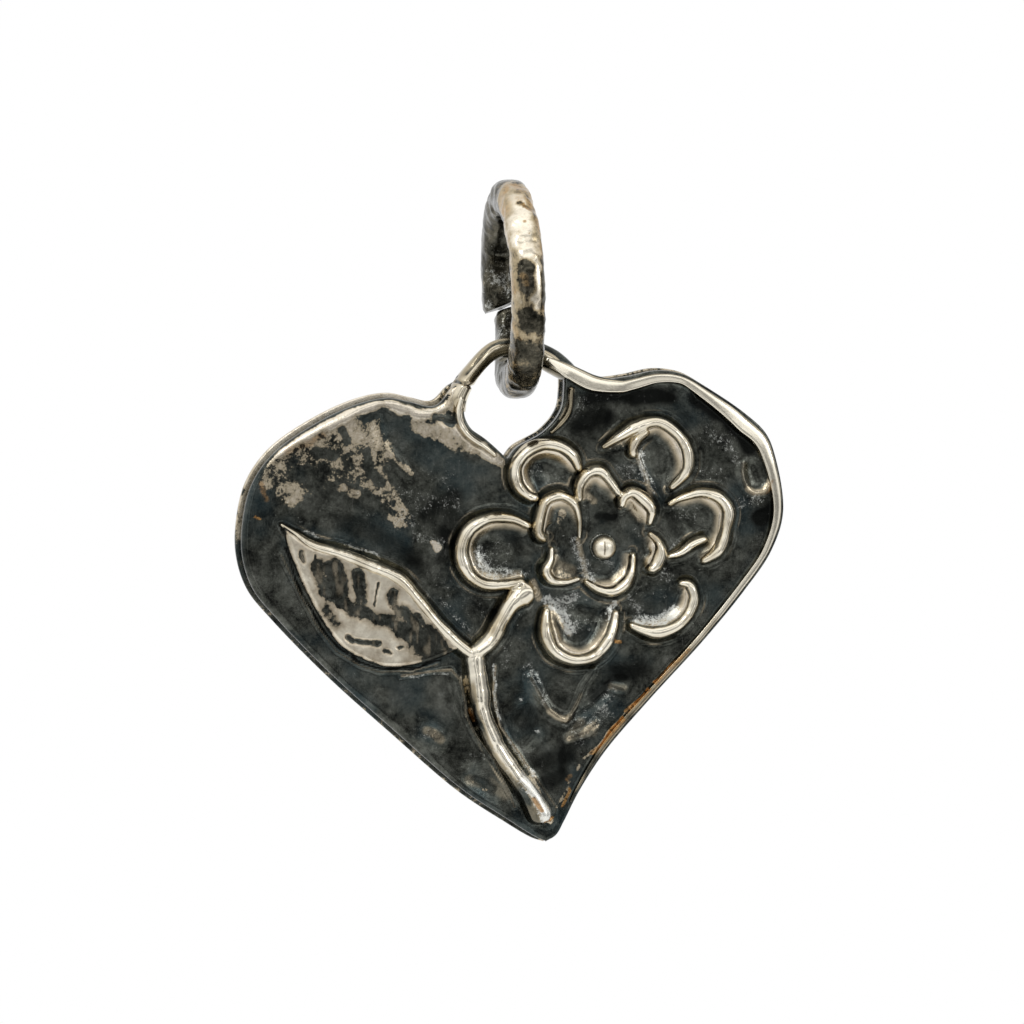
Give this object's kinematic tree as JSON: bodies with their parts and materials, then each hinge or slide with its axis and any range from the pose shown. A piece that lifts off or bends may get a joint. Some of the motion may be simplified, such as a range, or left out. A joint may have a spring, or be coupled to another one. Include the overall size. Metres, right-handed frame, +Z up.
{
  "type": "heart pendant",
  "caption": "Oxidised heart pendant of two sheets with a wire flower, leaf and stem on its face, a bail arch over the cleft and an open jump ring for a chain.",
  "frame": {"origin": "top of the inside of the jump ring, where a chain bears", "axes": "+Z up as the pendant hangs, the decorated face looks along -Y, +X to the right as the face is seen"},
  "size_m": [0.0253, 0.0099, 0.0304],
  "materials": {
    "oxidised_silver": "dark oxidised silver, satin, uneven",
    "worn_silver": "silver rubbed bright along the ridges, dark in the hollows",
    "hammered_silver": "hammered silver with brown and dark tarnish"
  },
  "bodies": {
    "ring": {"jump_ring": "hammered_silver"},
    "heart": {"back_plate": "oxidised_silver", "front_plate": "oxidised_silver", "bail_arch": "worn_silver", "stem": "worn_silver", "flower_stalk": "worn_silver", "leaf_rib": "worn_silver", "leaf_blade": "worn_silver", "flower_bead": "worn_silver", "inner_petal_upper_left": "worn_silver", "inner_petal_top": "worn_silver", "inner_petal_upper_right": "worn_silver", "inner_petal_right": "worn_silver", "inner_petal_bottom": "worn_silver", "inner_petal_lower_left": "worn_silver", "petal_left": "worn_silver", "petal_upper_left": "worn_silver", "petal_upper_right": "worn_silver", "petal_right": "worn_silver", "petal_lower_right": "worn_silver", "petal_lower": "worn_silver", "petal_spur": "worn_silver", "petal_tail": "worn_silver", "rim_right": "worn_silver", "cleft_rim_left": "worn_silver", "cleft_rim_right": "worn_silver"}
  },
  "joints": [
    {"name": "heart_swing", "type": "hinge", "parent": "ring", "child": "heart", "pos_m": [0.00035, 0, -0.00591], "axis": [1, 0, 0], "range_deg": [-80, 80]}
  ]
}
